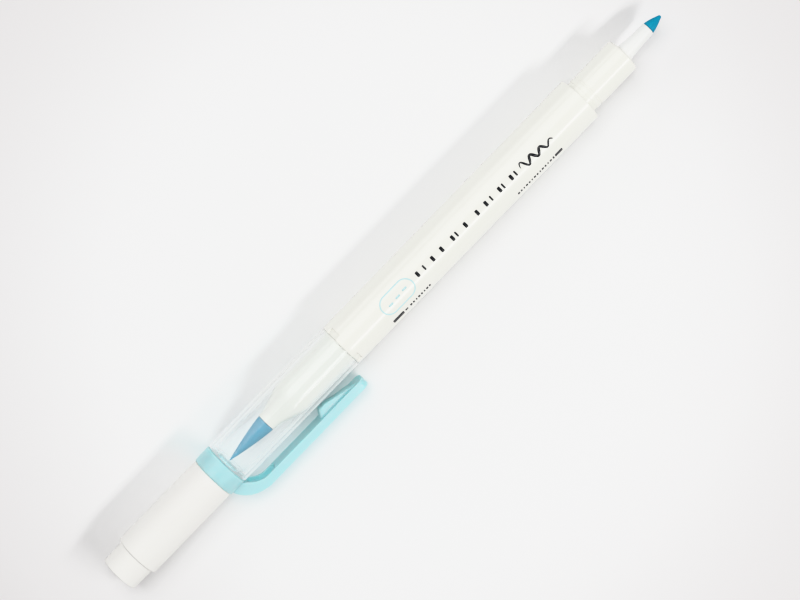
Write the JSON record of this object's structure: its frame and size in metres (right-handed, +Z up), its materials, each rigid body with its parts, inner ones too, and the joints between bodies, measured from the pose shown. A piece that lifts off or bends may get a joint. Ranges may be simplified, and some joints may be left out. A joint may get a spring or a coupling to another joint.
{
  "type": "double-ended marker",
  "caption": "Slim double-ended marker: white barrel, brush nib under a clear clip cap, bare fine nib, and the fine nib's white cap posted behind the clip.",
  "frame": {"origin": "on the surface that the pen lies on, under the middle of its box", "axes": "+X along the pen towards the fine nib, +Z up from the surface, clip on the -Y side"},
  "size_m": [0.1688, 0.0158, 0.011],
  "materials": {
    "white_shell": "opaque white moulded polypropylene, glossy",
    "white_cap": "opaque white moulded polypropylene, satin",
    "clear_shell": "clear moulded polystyrene, fluted lengthwise",
    "aqua_clip": "pale aqua moulded plastic, glossy",
    "inked_nib": "porous fibre soaked in blue ink",
    "inked_fibre": "bundled polyester fibre soaked in blue ink",
    "film": "thin clear wrapping film",
    "natural_plastic": "uncoloured translucent polypropylene"
  },
  "bodies": {
    "barrel": {"barrel": "white_shell", "reservoir_fibre": "inked_fibre", "reservoir_film": "film", "brush_section": "white_shell", "brush_nib": "inked_nib", "fine_section": "white_shell", "fine_nib_holder": "natural_plastic", "fine_nib": "inked_nib"},
    "brush_cap": {"brush_cap": "clear_shell", "clip_ring": "aqua_clip"},
    "clip_arm": {"clip_arm": "aqua_clip"},
    "fine_cap": {"fine_cap": "white_cap", "fine_cap_liner": "natural_plastic"}
  },
  "joints": [
    {"name": "brush_cap_pull", "type": "slide", "parent": "barrel", "child": "brush_cap", "axis": [-1, 0, 0], "range_m": [0, 0.04]},
    {"name": "clip_flex", "type": "hinge", "parent": "brush_cap", "child": "clip_arm", "pos_m": [-0.04897, -0.0057, 0.00247], "axis": [0, 0.3502, -0.9367], "range_deg": [0, 6], "stiffness_Nm_per_rad": 1.1},
    {"name": "fine_cap_pull", "type": "slide", "parent": "brush_cap", "child": "fine_cap", "axis": [-1, 0, 0], "range_m": [0, 0.02]}
  ]
}
